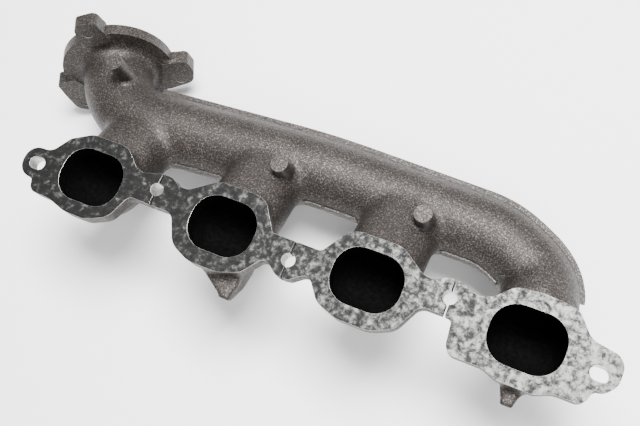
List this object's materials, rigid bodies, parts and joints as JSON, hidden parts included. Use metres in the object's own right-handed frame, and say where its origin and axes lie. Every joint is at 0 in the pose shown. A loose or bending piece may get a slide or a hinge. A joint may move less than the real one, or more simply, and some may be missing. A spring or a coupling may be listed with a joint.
{
  "type": "exhaust manifold",
  "caption": "Cast-iron log exhaust manifold: ports along one side feed a curved collecting pipe that ends in a round lugged outlet flange.",
  "frame": {"origin": "on the plane of the port pads, on the port centre line, half way between the second and third ports", "axes": "+X along the row of ports away from the outlet, +Y from the ports towards the collecting pipe, +Z out of the port pads"},
  "size_m": [0.5098, 0.1891, 0.1131],
  "materials": {
    "cast_skin": "as-cast, shot-blasted grain, warm grey-brown",
    "machined_face": "milled face with a dark mottled oxide"
  },
  "bodies": {
    "root": {"port_flange_1": "machined_face", "port_flange_2": "machined_face", "port_flange_3": "machined_face", "port_flange_4": "machined_face", "runner_1": "cast_skin", "runner_2": "cast_skin", "runner_3": "cast_skin", "runner_4": "cast_skin", "collector_span_1": "cast_skin", "collector_span_2": "cast_skin", "collector_span_3": "cast_skin", "outlet_elbow": "cast_skin", "outlet_flange": "cast_skin", "heat_shield_boss_1": "cast_skin", "heat_shield_boss_2": "cast_skin", "heat_shield_boss_3": "cast_skin", "runner_gusset_2": "cast_skin", "runner_gusset_4": "cast_skin", "parting_land_pipe": "cast_skin", "parting_land_runner_4": "cast_skin", "parting_land_window_1": "cast_skin", "parting_land_window_2": "cast_skin", "parting_land_window_3": "cast_skin"}
  },
  "joints": []
}
